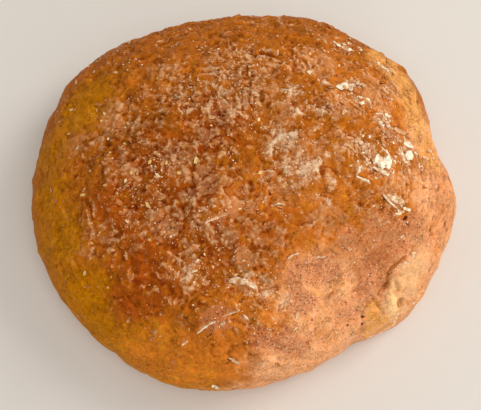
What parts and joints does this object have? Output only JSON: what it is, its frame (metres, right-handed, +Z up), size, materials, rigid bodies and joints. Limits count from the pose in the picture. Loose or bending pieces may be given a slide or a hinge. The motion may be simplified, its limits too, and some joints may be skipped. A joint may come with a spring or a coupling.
{
  "type": "rustic bread loaf",
  "caption": "Low oval round loaf of rustic bread with a craggy flaky crown, a smoother side, a small open tuck at one corner and a flat underside.",
  "frame": {"origin": "middle of the flat underside, below the middle of the loaf's box", "axes": "+X along the longest way across, towards the pointed side; +Z up, from the underside to the crown; the open tuck is between +X and -Y"},
  "size_m": [0.2094, 0.1944, 0.067],
  "materials": {
    "crust": "baked bread crust: dry and flaky on the crown with thin flour, satin and smoother on the side"
  },
  "bodies": {
    "root": {"loaf": "crust"}
  },
  "joints": []
}
